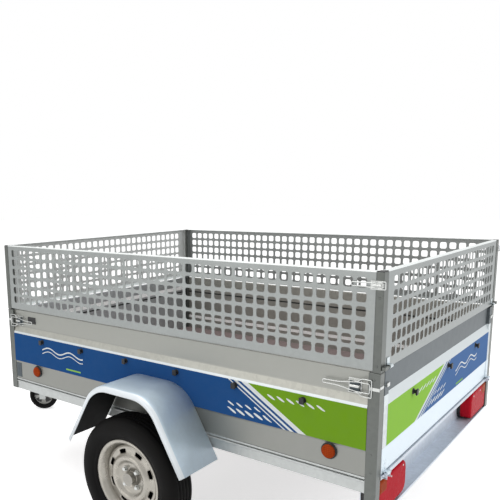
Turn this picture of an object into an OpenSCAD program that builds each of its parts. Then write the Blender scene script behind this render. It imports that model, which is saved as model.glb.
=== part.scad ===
// Single-axle utility trailer with galvanised sides and perforated extension panels.
// X points forward to the coupling, Y to the left side, Z up from the ground.
// The origin is on the ground, under the middle of the whole trailer.

/* [Body] */
// Length of the body over its corner posts
body_l = 2106; // [1700:2:2600]
// Width of the body over its side panels
body_w = 1580; // [1200:10:1700]
// Height of the rails' lower edge above the ground
rail_z = 447; // [430:1:500]
// Height of a chassis rail
rail_h = 62; // [36:1:70]
// Width of a chassis rail
rail_w = 33; // [26:1:60]
// Height of the sides above the rails
side_h = 386; // [360:1:600]
// Thickness of a side over its pressed profile
wall_t = 27; // [22:1:40]
// Depth of the step between the flat of a side and its top band
step_d = 12; // [6:1:16]
// Height of the plain band along the top of a side
band_h = 87; // [60:1:120]
// Height of the sloped step below the top band
slope_h = 42; // [20:1:60]
// Height of the coloured field on a side
field_h = 157; // [100:1:200]
// Thickness of the floor
floor_t = 12; // [9:1:18]
// Length of a corner post along the side
post_l = 42; // [36:1:60]
// Width of a corner post across the end
post_w = 42; // [30:1:60]
// Gap around the tailgate, the front board and the rear panel
door_gap = 5; // [5:0.5:8]
// Width of the flat margin at each side of the tailgate and the front board
door_margin = 37; // [28:1:50]

/* [Extension] */
// Height of the extension panels
mesh_h = 344; // [320:1:420]
// Length of an extension post along the side
mesh_post_l = 28; // [24:1:40]
// Width of an extension post across the end
mesh_post_w = 40; // [28:1:44]
// Thickness of the perforated sheet
mesh_t = 2; // [1.5:0.5:4]
// Depth of the folded edge of an extension panel
mesh_fold = 20; // [14:1:26]
// Spacing of the square holes
hole_pitch = 50; // [45:1:60]
// Width of a square hole
hole_w = 36; // [28:1:40]
// Distance from the top edge to the middle of the first row of holes
hole_top = 42; // [36:1:60]

/* [Wheels] */
// Outer radius of a tyre
tyre_r = 281; // [260:1:300]
// Width of a tyre
tyre_w = 145; // [125:5:155]
// Radius of the rim's seat
rim_r = 165; // [150:1:178]
// Distance from the side panel to the middle of the tyre
tyre_out = 144; // [115:1:150]
// Distance of the wheels' axis behind the middle of the body
axle_back = 27; // [0:1:60]
// Radius of the wheel bearing's stub
stub_r = 17; // [14:1:20]
// Number of vents around a rim
vents = 8; // [6:1:12]
// Distance from the axle tube forward of the wheels
arm_reach = 125; // [100:5:160]
// Size of the square axle tube
axle_s = 60; // [50:5:70]

/* [Mudguards] */
// Width of a mudguard
guard_w = 232; // [225:1:250]
// Length of a mudguard along its lower ends
guard_l = 694; // [680:2:800]
// Length of a mudguard's flat top
guard_top_l = 340; // [330:2:400]
// Height of a mudguard's lower ends above the ground
guard_z = 403; // [380:1:440]
// Height of a mudguard's top above the ground
guard_top = 698; // [680:1:715]
// Thickness of the mudguard sheet
guard_t = 3; // [2:0.5:5]
// Depth of the turned-down outer edge
guard_lip = 26; // [16:1:34]
// Radius of the bends of a mudguard
guard_r = 170; // [120:5:180]

/* [Drawbar] */
// Distance from the front of the body to the tip of the coupling
reach = 1040; // [900:10:1200]
// Height of a drawbar tube
bar_h = 50; // [40:1:60]
// Width of a drawbar tube
bar_w = 45; // [40:1:60]
// Radius of the ball socket
ball_r = 25.25; // [25.1:0.05:25.5]
// Radius of the jockey wheel's outer tube
jockey_r = 24; // [22:0.5:30]
// Wall of the jockey wheel's outer tube
jockey_wall = 3; // [2:0.5:4]
// Radius of the jockey wheel
jockey_tyre_r = 100; // [90:5:110]
// Width of the jockey wheel
jockey_tyre_w = 50; // [40:5:60]
// Distance from the front ends of the drawbar legs back to the jockey tube
jockey_back = 200; // [160:5:260]
// Angle that the parked jockey wheel is turned to
jockey_turn = 35; // [0:5:60]

/* [Lamps] */
// Depth of a tail lamp
lamp_d = 68; // [30:1:76]
// Width of a tail lamp
lamp_w = 285; // [180:5:300]
// Height of a tail lamp
lamp_h = 145; // [90:1:150]
// Radius of a side marker lamp
marker_r = 31; // [25:1:36]
// Height of the lamp board
board_h = 175; // [165:1:190]

/* [Hidden] */
$fn = 64;
cut = 1;              // how far a cutting shape runs past what it cuts
snug = 0.3;           // clearance between curved faces of different bodies
galv = [0.68, 0.70, 0.71];
galv_bright = [0.78, 0.81, 0.83];
black = [0.08, 0.08, 0.09];
hook_out = 19;        // distance that a rope hook stands out from a wall
// The whole trailer is centred between its rear rope hooks and the tip of its coupling.
shift = (hook_out - body_l - reach) / 2;
mid_x = body_l / 2;
axle_x = mid_x - axle_back;
half_w = body_w / 2;
side_z = rail_z + rail_h;
body_top = side_z + side_h;
mesh_z = body_top + door_gap + 1;
mesh_top = mesh_z + mesh_h;
band_z = body_top - band_h;
slope_z = band_z - slope_h;
field_z = slope_z - field_h;
field_step = 3;
wall_in = half_w - wall_t;
post_in = half_w - post_w;
end_in = half_w - post_w - door_gap;     // half width of the doors between the posts
mesh_end_in = half_w - mesh_post_w - door_gap;
hinge_z = side_z + 4;
hinge_x = -11;
eye_r = 7;
pin_r = 4;
board_x = lamp_d + 2; // rear face of the lamp board, inside the rear edge of the body
sheet_t = 3;
lip_h = 14;           // height of the lamp board's upper lip
board_z = side_z - board_h;

module place() {
    translate([shift, 0, 0]) children();
}

module both_sides() {
    children();
    mirror([0, 1, 0]) children();
}

// A bar along Y with its section drawn in X and Z.
module along_y(y0, y1) {
    translate([0, y1, 0]) rotate([90, 0, 0]) linear_extrude(y1 - y0) children();
}

// A bar along X with its section drawn in Y and Z.
module along_x(x0, x1) {
    translate([x0, 0, 0]) rotate([90, 0, 90]) linear_extrude(x1 - x0) children();
}

// Section of a wall: d runs inwards from the outer face and z upwards.
function wall_section(z0, flip) = [for (p = [
    [field_step, z0], [field_step, field_z - field_step], [0, field_z], [0, slope_z],
    [step_d, band_z], [step_d, body_top], [wall_t, body_top], [wall_t, z0]]) [flip * p[0], p[1]]];

// Chassis

module side_rails() {
    color(galv) place() both_sides()
        translate([post_l, half_w - 2 - rail_w, rail_z]) cube([body_l - 2 * post_l, rail_w, rail_h]);
}

module front_crossmember() {
    color(galv) place() {
        translate([body_l - post_l, -post_in, rail_z]) cube([post_l, 2 * post_in, rail_h]);
        translate([body_l, 0, 0]) mirror([1, 0, 0]) hinge_cheeks(1, rail_z + 18);
    }
}

// Deep rear crossmember: a sheet folded back at the top and the foot, open to the rear for the lamps.
module lamp_board() {
    color(galv_bright) place() {
        along_y(-post_in, post_in) polygon([
            [-2, side_z], [-2, side_z - lip_h], [0, side_z - lip_h], [0, side_z - sheet_t],
            [board_x, side_z - sheet_t], [board_x, board_z + sheet_t], [2, board_z + sheet_t],
            [2, board_z + 10], [0, board_z + 10], [0, board_z],
            [board_x + sheet_t, board_z], [board_x + sheet_t, side_z]]);
        hinge_cheeks(-1, side_z - lip_h);
    }
}

// Hinges of the tailgate and the front board: two cheeks and a pin on the chassis, and an eye between them.
hinge_y = end_in - 30;
eye_l = 24;
cheek_t = 4;
module hinge_cheeks(x1, z0) {
    for (s = [-1, 1]) translate([0, s * hinge_y, 0]) {
        for (k = [-1, 1]) translate([0, k * (eye_l / 2 + 1 + cheek_t / 2), 0])
            along_y(-cheek_t / 2, cheek_t / 2) polygon([[hinge_x - 6, z0], [x1, z0], [x1, side_z - 8],
                [hinge_x + 5, hinge_z + 4], [hinge_x - 6, hinge_z + 4]]);
        along_y_pin(hinge_x, hinge_z, pin_r, eye_l + 2 + cheek_t);
    }
}

// A round bar along Y with its middle at the origin's Y.
module along_y_pin(x, z, r, l) {
    translate([x, -l / 2, z]) rotate([-90, 0, 0]) cylinder(r = r, h = l);
}

module hinge_leaf() {
    for (s = [-1, 1]) translate([0, s * hinge_y, 0]) difference() {
        union() {
            along_y_pin(hinge_x, hinge_z, eye_r, eye_l);
            translate([hinge_x, -eye_l / 2, hinge_z + 3]) cube([-hinge_x + field_step, eye_l, 4]);
            translate([-1, -eye_l / 2, hinge_z + 3]) cube([1 + field_step, eye_l, 42]);
        }
        along_y_pin(hinge_x, hinge_z, pin_r + snug, eye_l + 2 * cut);
    }
}

// Cross bearers that carry the floor between the rails.
bearer_n = 3;
module floor_bearers() {
    color(galv) place() for (i = [1 : bearer_n])
        translate([body_l * i / (bearer_n + 1) - 20, rail_w + 2 - half_w, rail_z + sheet_t])
            cube([40, body_w - 2 * rail_w - 4, rail_h - sheet_t]);
}

module floor_panel() {
    x0 = wall_t + door_gap;
    notch = post_l - x0 + cut;
    color([0.55, 0.42, 0.28]) place() difference() {
        translate([x0, -wall_in, side_z]) cube([body_l - 2 * x0, 2 * wall_in, floor_t]);
        both_sides() for (x = [x0 - cut, body_l - x0 + cut - notch - cut])
            translate([x, post_in - 1, side_z - cut])
                cube([notch + cut, wall_in - post_in + 1 + cut, floor_t + 2 * cut]);
    }
}

// Drawbar

head_l = 250;         // length of the coupling ahead of the legs
leg_end_x = body_l + reach - head_l;
bar_z = rail_z - bar_h;
leg_y = half_w - 130;
leg_x = body_l - 80;

leg_dx = leg_end_x - leg_x;
leg_dy = leg_y - bar_w;
leg_s = bar_w * sqrt(leg_dx * leg_dx + leg_dy * leg_dy) / leg_dx;   // width of a leg measured along Y

// Y of a leg's inner face at x.
function leg_in(x) = bar_w / 2 + (leg_end_x - x) * leg_dy / leg_dx;

module drawbar_leg() {
    translate([0, 0, bar_z]) linear_extrude(bar_h)
        polygon([[leg_x, leg_in(leg_x)], [leg_end_x, leg_in(leg_end_x)], [leg_end_x, leg_in(leg_end_x) + leg_s],
            [leg_x, leg_in(leg_x) + leg_s]]);
}

module drawbar_legs() {
    color(black) place() both_sides() drawbar_leg();
}

// Wedge and stub tube between the legs' front ends.
wedge_l = 40;
stub_l = 60;
module drawbar_nose() {
    wedge_y = leg_in(leg_end_x - wedge_l);
    color(black) place() translate([0, 0, bar_z]) linear_extrude(bar_h)
        polygon([[leg_end_x - wedge_l, -wedge_y], [leg_end_x, -bar_w / 2], [leg_end_x + stub_l, -bar_w / 2],
            [leg_end_x + stub_l, bar_w / 2], [leg_end_x, bar_w / 2], [leg_end_x - wedge_l, wedge_y]]);
}

head_r = 45;
ball_x = body_l + reach - head_r;
head_z = bar_z - 4;
head_h = bar_h + 8;
module coupling_head() {
    color(galv) place() difference() {
        union() {
            translate([leg_end_x + 12, -bar_w / 2 - 6, head_z]) cube([stub_l, bar_w + 12, head_h]);
            translate([leg_end_x + stub_l + 12, -28, head_z])
                cube([ball_x - leg_end_x - stub_l - 12, 56, head_h - 4]);
            translate([ball_x, 0, head_z]) cylinder(r = head_r, h = head_h);
        }
        translate([leg_end_x + 12 - cut, -bar_w / 2, bar_z]) cube([stub_l - 12 + cut, bar_w, bar_h]);
        translate([ball_x, 0, head_z - cut]) cylinder(r = ball_r, h = 38 + cut);
    }
}

module coupling_handle() {
    color(black) place() {
        along_y(-16, 16) polygon([[leg_end_x + 95, head_z + head_h - 4], [ball_x - 50, head_z + head_h - 4],
            [ball_x - 52, head_z + head_h + 12], [leg_end_x + 80, head_z + head_h + 44],
            [leg_end_x + 60, head_z + head_h + 44], [leg_end_x + 60, head_z + head_h + 34]]);
    }
}

// Axle

axle_tube_x = axle_x + arm_reach;
axle_tube_z = rail_z - axle_s / 2;
arm_t = 22;
arm_y = half_w + 18;
hub_y = arm_y + arm_t;

module axle_beam() {
    color(galv) place()
        translate([axle_tube_x - axle_s / 2, -half_w, rail_z - axle_s]) cube([axle_s, body_w, axle_s]);
}

// Trailing arm with the torsion bar's end at the front and the stub shaft at the wheel.
module axle_arm() {
    dx = axle_tube_x - axle_x;
    dz = axle_tube_z - tyre_r;
    arm_l = sqrt(dx * dx + dz * dz);
    translate([axle_x, arm_y, tyre_r]) rotate([0, -atan2(dz, dx), 0]) {
        rotate([-90, 0, 0]) cylinder(r = 32, h = arm_t);
        translate([0, 0, -24]) cube([arm_l, arm_t, 48]);
        translate([arm_l, 0, 0]) rotate([-90, 0, 0]) cylinder(r = 30, h = arm_t);
    }
    translate([axle_tube_x, half_w, axle_tube_z]) rotate([-90, 0, 0]) cylinder(r = 22, h = 18 + cut);
    translate([axle_x, hub_y - cut, tyre_r]) rotate([-90, 0, 0]) cylinder(r = stub_r, h = 70 + cut);
}

module axle_arms() {
    color([0.35, 0.36, 0.37]) place() both_sides() axle_arm();
}

// Wheels, drawn about the wheel's own axis with Z pointing out of the trailer

tyre_y = half_w + tyre_out;
disc_z = 18;          // plane of the rim's disc, outwards from the middle of the tyre
disc_t = 5;
hub_face = disc_z;
hub_in = hub_y + 1 - tyre_y;

module at_wheel(side) {
    translate([shift + axle_x, side * tyre_y, tyre_r]) rotate([-90 * side, 0, 0]) children();
}

module hub() {
    color([0.45, 0.45, 0.46]) difference() {
        union() {
            translate([0, 0, hub_in]) cylinder(r = 48, h = hub_face - 12 - hub_in);
            translate([0, 0, hub_face - 12]) cylinder(r = 68, h = 12);
            translate([0, 0, hub_face]) cylinder(r = 28, h = disc_t + 26);
        }
        translate([0, 0, hub_in - cut]) cylinder(r = stub_r + snug, h = 71 + cut);
    }
}

// Pressed steel rim: a well with two flanges, and a dished disc with oval vents near its edge.
module rim() {
    half = 52;
    color([0.75, 0.74, 0.70]) difference() {
        union() {
            rotate_extrude() polygon([
                [rim_r - 4, -half], [rim_r + 17, -half - 4], [rim_r + 17, -half], [rim_r, -half + 6],
                [rim_r, -half + 24], [rim_r - 18, -half + 36], [rim_r - 18, -half + 62],
                [rim_r, half - 24], [rim_r, half - 6], [rim_r + 17, half], [rim_r + 17, half + 4],
                [rim_r - 4, half], [rim_r - 4, half - 26], [rim_r - 22, -half + 63], [rim_r - 22, -half + 34],
                [rim_r - 4, -half + 22]]);
            rotate_extrude() polygon([
                [28 + snug, disc_z], [72, disc_z], [84, disc_z + 20], [100, disc_z + 22], [112, disc_z + 10],
                [rim_r - 13, disc_z - 2], [rim_r - 13, disc_z + 3], [112, disc_z + 15], [101, disc_z + 27],
                [82, disc_z + 25], [70, disc_z + disc_t], [28 + snug, disc_z + disc_t]]);
        }
        for (i = [0 : vents - 1]) rotate([0, 0, 360 * (i + 0.5) / vents])
            translate([(112 + rim_r - 20) / 2 + 1, 0, disc_z - 20]) linear_extrude(60) {
                translate([0, -9]) circle(r = 9);
                translate([0, 9]) circle(r = 9);
                square([18, 18], center = true);
            }
    }
    color([0.4, 0.4, 0.4]) for (i = [0 : 3]) rotate([0, 0, 90 * i + 45])
        translate([49, 0, disc_z + disc_t - 0.1]) cylinder(r = 11, h = 14, $fn = 6);
}

// Tyre with rounded shoulders and sides that bulge.
module tyre() {
    seat = rim_r + snug;
    flange = rim_r + 17 + snug;
    color(black) rotate_extrude($fn = 96) {
        hw = tyre_w / 2;
        polygon([[seat, -44], [flange, -50], [flange + 5, -58], [tyre_r - 62, -hw], [tyre_r - 46, -hw],
            [tyre_r - 18, -hw + 6], [tyre_r - 6, -hw + 18], [tyre_r, -hw + 34], [tyre_r, hw - 34],
            [tyre_r - 6, hw - 18], [tyre_r - 18, hw - 6], [tyre_r - 46, hw], [tyre_r - 62, hw],
            [flange + 5, 58], [flange, 50], [seat, 44]]);
    }
}

module hub_left() { at_wheel(1) hub(); }
module hub_right() { at_wheel(-1) hub(); }
module rim_left() { at_wheel(1) rim(); }
module rim_right() { at_wheel(-1) rim(); }
module tyre_left() { at_wheel(1) tyre(); }
module tyre_right() { at_wheel(-1) tyre(); }

// Body

module side_panel() {
    along_x(post_l, body_l - post_l) translate([half_w, 0]) polygon(wall_section(side_z, -1));
}

module side_left() {
    color(galv) place() side_panel();
}

module side_right() {
    color(galv) place() mirror([0, 1, 0]) side_panel();
}

// The rear posts reach down to the foot of the lamp board, and the front ones to the rails' lower edge.
module corner_post(z0) {
    translate([0, post_in, z0]) cube([post_l, post_w, body_top - z0]);
}

module corner_posts() {
    color(galv) place() both_sides() {
        corner_post(board_z);
        translate([body_l, 0, 0]) mirror([1, 0, 0]) corner_post(rail_z);
    }
}

// The front board and the tailgate close the ends between the posts and turn on their lower edges.
module end_wall() {
    z0 = side_z + door_gap;
    along_y(-end_in, end_in) polygon(wall_section(z0, 1));
    both_sides() translate([0, end_in - door_margin, z0]) cube([wall_t, door_margin, body_top - z0]);
}

module tailgate() {
    color(galv_bright) place() {
        end_wall();
        hinge_leaf();
    }
}

module front_board() {
    color(galv_bright) place() translate([body_l, 0, 0]) mirror([1, 0, 0]) {
        end_wall();
        hinge_leaf();
    }
}

// Perforated panels

function hole_count(w, edge) = floor((w - 2 * edge) / hole_pitch);

module perforated(w, cols) {
    difference() {
        translate([-w / 2, 0]) square([w, mesh_h]);
        for (i = [0 : cols - 1]) for (j = [0 : 5])
            translate([(i - (cols - 1) / 2) * hole_pitch - hole_w / 2,
                mesh_h - hole_top - j * hole_pitch - hole_w / 2]) square(hole_w);
    }
}

// A perforated sheet with its four edges folded inwards, drawn across X and up Y, with its face at Z = 0.
module mesh_panel(w, cols) {
    translate([0, 0, -mesh_t]) linear_extrude(mesh_t) perforated(w, cols);
    translate([0, 0, -mesh_fold]) linear_extrude(mesh_fold - mesh_t + 0.01) difference() {
        translate([-w / 2, 0]) square([w, mesh_h]);
        translate([-w / 2 + mesh_t, mesh_t]) square([w - 2 * mesh_t, mesh_h - 2 * mesh_t]);
    }
}

mesh_side_w = body_l - 2 * mesh_post_l;
mesh_front_w = 2 * (half_w - mesh_post_w);
mesh_end_w = 2 * mesh_end_in;
side_cols = hole_count(mesh_side_w, 12);
end_cols = hole_count(mesh_end_w, 30);
mesh_in = 2;

module mesh_side() {
    translate([mid_x, half_w - mesh_in, mesh_z]) rotate([90, 0, 180]) mesh_panel(mesh_side_w, side_cols);
}

module mesh_left() {
    color(galv) place() mesh_side();
}

module mesh_right() {
    color(galv) place() mirror([0, 1, 0]) mesh_side();
}

module mesh_front() {
    color(galv) place() translate([body_l - mesh_in, 0, mesh_z]) rotate([90, 0, 90])
        mesh_panel(mesh_front_w, end_cols);
}

// The rear panel turns on a pin at each lower corner, held by a lug on the post.
gate_pin_x = -8;
gate_pin_z = mesh_z + 10;
module mesh_gate() {
    color(galv_bright) place() {
        translate([mesh_in, 0, mesh_z]) rotate([90, 0, -90]) mesh_panel(mesh_end_w, end_cols);
        both_sides() difference() {
            translate([0, mesh_end_in - 22, 0]) {
                along_y_pin(gate_pin_x, gate_pin_z, eye_r, 24);
                translate([gate_pin_x, -12, gate_pin_z]) cube([mesh_in - gate_pin_x, 24, eye_r]);
            }
            translate([0, mesh_end_in - 22, 0]) along_y_pin(gate_pin_x, gate_pin_z, pin_r + snug, 24 + 2 * cut);
        }
    }
}

module extension_post() {
    translate([0, half_w - mesh_post_w, body_top]) cube([mesh_post_l, mesh_post_w, mesh_top - body_top]);
}

module extension_posts() {
    color(galv) place() both_sides() {
        extension_post();
        translate([gate_pin_x - 6, half_w - mesh_post_w + 2, gate_pin_z - 6])
            cube([-gate_pin_x + 6, mesh_post_w - 8, 14]);
        translate([gate_pin_x, mesh_end_in - 32, gate_pin_z]) rotate([-90, 0, 0])
            cylinder(r = pin_r, h = half_w - mesh_post_w + 4 - mesh_end_in + 32);
        translate([body_l, 0, 0]) mirror([1, 0, 0]) extension_post();
    }
}

// Mudguards

// Points of an arc about c, from angle a0 to a1.
function arc(c, r, a0, a1, n = 6) = [for (i = [0 : n]) let(a = a0 + (a1 - a0) * i / n)
    [c[0] + r * cos(a), c[1] + r * sin(a)]];

// Half of the arch from the middle of its top to its foot, inset by d from the outer face.
function guard_half(d) = let(
    run = (guard_l - guard_top_l) / 2,
    lean = atan2(guard_top - guard_z, run),
    c = [guard_top_l / 2 - guard_r * tan(lean / 2), guard_top - guard_r])
    concat([[0, guard_top - d]], arc(c, guard_r - d, 90, 90 - lean), [[guard_l / 2 - d / sin(lean), guard_z]]);

function mirrored(pts) = [for (i = [len(pts) - 1 : -1 : 0]) [-pts[i][0], pts[i][1]]];

module guard_outline(d) {
    polygon(concat(mirrored(guard_half(d)), guard_half(d)));
}

module mudguard() {
    translate([axle_x, half_w + snug, 0]) {
        along_y(0, guard_w - snug) difference() {
            guard_outline(0);
            guard_outline(guard_t);
        }
        along_y(guard_w - snug - guard_t, guard_w - snug) difference() {
            guard_outline(guard_t);
            guard_outline(guard_lip);
        }
    }
}

module mudguard_left() {
    color(galv_bright) place() mudguard();
}

module mudguard_right() {
    color(galv_bright) place() mirror([0, 1, 0]) mudguard();
}

// Flat stays under each mudguard, bolted to the side.
stay_x = guard_top_l / 2 - 120;
stay_l = 30;
module mudguard_stays() {
    color(galv) place() both_sides() for (s = [-1, 1])
        translate([axle_x + s * stay_x - stay_l / 2, half_w + snug, guard_top - guard_t - 6]) {
            cube([stay_l, guard_w - guard_t - 8, 6]);
            translate([0, 0, -50]) cube([stay_l, 5, 50]);
        }
}

// Lamps

marker_in = 164;      // room between a corner post and the middle of a marker lamp
marker_x = mid_x - post_l - marker_in;
marker_z = field_z - marker_r - 4;
module marker_lamps() {
    color([0.85, 0.35, 0.05]) place() both_sides() for (s = [-1, 1])
        translate([axle_x + s * marker_x, half_w - field_step, marker_z]) rotate([-90, 0, 0]) {
            cylinder(r = marker_r, h = 6);
            translate([0, 0, 6]) cylinder(r = marker_r - 5, h = 12);
        }
}

lamp_y = post_in - 2 - lamp_w;
lamp_z = board_z + 7;
base_d = 16;          // depth of a tail lamp's dark base

// Outline of a tail lamp, with its inner corners cut off.
module lamp_outline(inset) {
    c = 26;
    polygon([[lamp_y + inset, lamp_z + c], [lamp_y + c, lamp_z + inset],
        [lamp_y + lamp_w - inset, lamp_z + inset],
        [lamp_y + lamp_w - inset, lamp_z + lamp_h - inset], [lamp_y + c, lamp_z + lamp_h - inset],
        [lamp_y + inset, lamp_z + lamp_h - c]]);
}

module tail_lamp_housings() {
    color(black) place() both_sides() along_x(board_x - base_d, board_x) lamp_outline(0);
}

module tail_lamp_lenses() {
    color([0.75, 0.05, 0.08]) place() both_sides() along_x(board_x - lamp_d, board_x - base_d) lamp_outline(4);
}

// Hooks, toggles and the like

hook_n = 6;
hook_in = 287;        // from the end of the body to the first rope hook
hook_pitch = (body_l - 2 * hook_in) / (hook_n - 1);
hook_z = slope_z - 21;
end_hook_pitch = end_in - 296;

// Rope hook: a round foot with an upturned tip.
module rope_hook() {
    rotate([-90, 0, 0]) cylinder(r = 9, h = hook_out - 7);
    translate([-11, hook_out - 7, -14]) cube([22, 7, 26]);
}

module tie_hooks() {
    color(black) place() both_sides() for (i = [0 : hook_n - 1])
        translate([mid_x + (i - (hook_n - 1) / 2) * hook_pitch, half_w, hook_z]) rope_hook();
}

module end_hooks() {
    for (i = [-1 : 1]) translate([0, i * end_hook_pitch, hook_z]) rotate([0, 0, 90]) rope_hook();
}

module tailgate_hooks() {
    color(black) place() end_hooks();
}

module front_hooks() {
    color(black) place() translate([body_l, 0, 0]) mirror([1, 0, 0]) end_hooks();
}

// Over-centre toggle: a base on the wall, a lever and a wire bail that lies over the post at the corner.
// Its base starts base_x from the corner and stands on a face at y, and z is its middle.
wire_r = 2.5;
module toggle(base_x, base_l, base_h, lever_l, bail_x, bail_h, y, z) {
    top = half_w + 6;
    wire_y = half_w + snug + wire_r;
    wire_z = bail_h / 2 - wire_r;
    translate([base_x, y, z - base_h / 2]) cube([base_l, top - y, base_h]);
    translate([base_x + base_l, top - 6, z - base_h / 6]) cube([lever_l, 6, base_h / 3]);
    for (k = [-1, 1]) translate([bail_x, wire_y, z + k * wire_z]) rotate([0, 90, 0])
        cylinder(r = wire_r, h = base_x - bail_x + wire_r);
    for (x = [bail_x, base_x + wire_r]) translate([x, wire_y, z - wire_z]) cylinder(r = wire_r, h = 2 * wire_z);
}

toggle_in = 68;       // from the end of the body to a toggle's base
toggle_l = 48;
toggle_h = 54;
toggle_lever = 94;
toggle_bail = 40;     // reach of the bail towards the end
toggle_bail_h = 68;
module door_toggle() {
    toggle(toggle_in, toggle_l, toggle_h, toggle_lever, toggle_in - toggle_bail, toggle_bail_h, half_w - step_d,
        band_z + 2 + toggle_h / 2);
}

module door_toggles() {
    color(galv_bright) place() both_sides() {
        door_toggle();
        translate([body_l, 0, 0]) mirror([1, 0, 0]) door_toggle();
    }
}

latch_l = 42;         // base of a toggle on an extension post
latch_h = 31;
latch_lever = 67;
latch_drop = 47;      // from the top edge to its middle
module mesh_toggles() {
    color(galv_bright) place() both_sides()
        toggle(mesh_post_l - 24, latch_l, latch_h, latch_lever, -6, latch_h, half_w, mesh_top - latch_drop);
}

// Jockey wheel

jockey_gap = 2.5;     // between the outer tube and the drawbar leg beside it
jockey_x = leg_end_x - jockey_back;
leg_turn = atan2(leg_dy, leg_dx);
jockey_y = leg_in(jockey_x) - (jockey_r + jockey_gap) / cos(leg_turn);
tube_low = bar_z - 15;
tube_top = 760;
stem_r = jockey_r - jockey_wall - snug;
fork_top = 2 * jockey_tyre_r + 30;
fork_t = 6;
stem_l = 300;

module at_jockey(z) {
    translate([shift + jockey_x, jockey_y, z]) children();
}

// Plate on top of the left leg of the drawbar with a collar around the tube.
module jockey_clamp() {
    color(galv) at_jockey(rail_z) difference() {
        union() {
            rotate([0, 0, -leg_turn]) translate([-40, 0, 0]) cube([80, jockey_r + jockey_gap + bar_w, 8]);
            cylinder(r = jockey_r + 12, h = 60);
            translate([jockey_r + 4, -6, 20]) cube([50, 12, 20]);
        }
        translate([0, 0, -cut]) cylinder(r = jockey_r + snug, h = 60 + 2 * cut);
    }
}

module jockey_tube() {
    color(galv_bright) at_jockey(tube_low) difference() {
        cylinder(r = jockey_r, h = tube_top - tube_low);
        translate([0, 0, -cut]) cylinder(r = jockey_r - jockey_wall, h = tube_top - tube_low - 20 + cut);
    }
}

module jockey_crank() {
    color(black) at_jockey(tube_top) {
        cylinder(r = 8, h = 24);
        translate([-8, -8, 12]) cube([130, 16, 8]);
        translate([116, 0, 20]) cylinder(r = 12, h = 60);
    }
}

// The stem ends in a spigot with a collar, on which the fork turns.
spigot_r = 10;
module jockey_stem() {
    low = fork_top - 0.5;
    high = fork_top + fork_t + 0.5;
    color(galv_bright) at_jockey(0) {
        translate([0, 0, high]) cylinder(r = stem_r, h = stem_l);
        translate([0, 0, low - 7]) cylinder(r = spigot_r, h = high - low + 7 + cut);
        translate([0, 0, low - 7]) cylinder(r = spigot_r + 5, h = 7);
    }
}

module at_fork() {
    at_jockey(0) rotate([0, 0, jockey_turn]) children();
}

// Fork with its two cheeks and the wheel's pin.
module jockey_fork() {
    color(galv) at_fork() {
        cheek = jockey_tyre_w / 2 + 6;
        difference() {
            translate([-30, -cheek - 4, fork_top]) cube([60, 2 * cheek + 8, fork_t]);
            translate([0, 0, fork_top - cut]) cylinder(r = spigot_r + snug, h = fork_t + 2 * cut);
        }
        both_sides() translate([-22, cheek, jockey_tyre_r - 22]) cube([44, 4, fork_top - jockey_tyre_r + 22]);
        translate([0, -cheek - 2, jockey_tyre_r]) rotate([-90, 0, 0]) cylinder(r = 8, h = 2 * cheek + 4);
    }
}

jockey_rim_r = jockey_tyre_r - 32;
module jockey_rim() {
    color(galv) at_fork() translate([0, -jockey_tyre_w / 2, jockey_tyre_r]) rotate([-90, 0, 0])
        difference() {
            union() {
                cylinder(r = 16, h = jockey_tyre_w);
                translate([0, 0, jockey_tyre_w / 2 - 3]) cylinder(r = jockey_rim_r, h = 6);
            }
            translate([0, 0, -cut]) cylinder(r = 8 + snug, h = jockey_tyre_w + 2 * cut);
        }
}

module jockey_tyre() {
    hw = jockey_tyre_w / 2;
    seat = jockey_rim_r + 0.2;
    color(black) at_fork() translate([0, 0, jockey_tyre_r]) rotate([-90, 0, 0]) rotate_extrude()
        polygon([[seat, -hw + 8], [seat + 6, -hw + 2], [jockey_tyre_r - 16, -hw], [jockey_tyre_r - 4, -hw + 8],
            [jockey_tyre_r, -hw + 18], [jockey_tyre_r, hw - 18], [jockey_tyre_r - 4, hw - 8],
            [jockey_tyre_r - 16, hw], [seat + 6, hw - 2], [seat, hw - 8]]);
}

side_rails();
front_crossmember();
lamp_board();
floor_bearers();
drawbar_legs();
drawbar_nose();
coupling_head();
coupling_handle();
axle_beam();
axle_arms();
floor_panel();
side_left();
side_right();
corner_posts();
mesh_left();
mesh_right();
mesh_front();
extension_posts();
mudguard_left();
mudguard_right();
mudguard_stays();
marker_lamps();
tail_lamp_housings();
tail_lamp_lenses();
tie_hooks();
door_toggles();
mesh_toggles();
jockey_clamp();
jockey_tube();
jockey_crank();
front_board();
front_hooks();
tailgate();
tailgate_hooks();
mesh_gate();
hub_left();
hub_right();
rim_left();
rim_right();
tyre_left();
tyre_right();
jockey_stem();
jockey_fork();
jockey_rim();
jockey_tyre();
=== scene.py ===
"""Looks of a single-axle utility trailer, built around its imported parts. Metres, +X to the coupling, +Z up."""
import math

import bmesh
import bpy
from mathutils import Matrix, Vector


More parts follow.
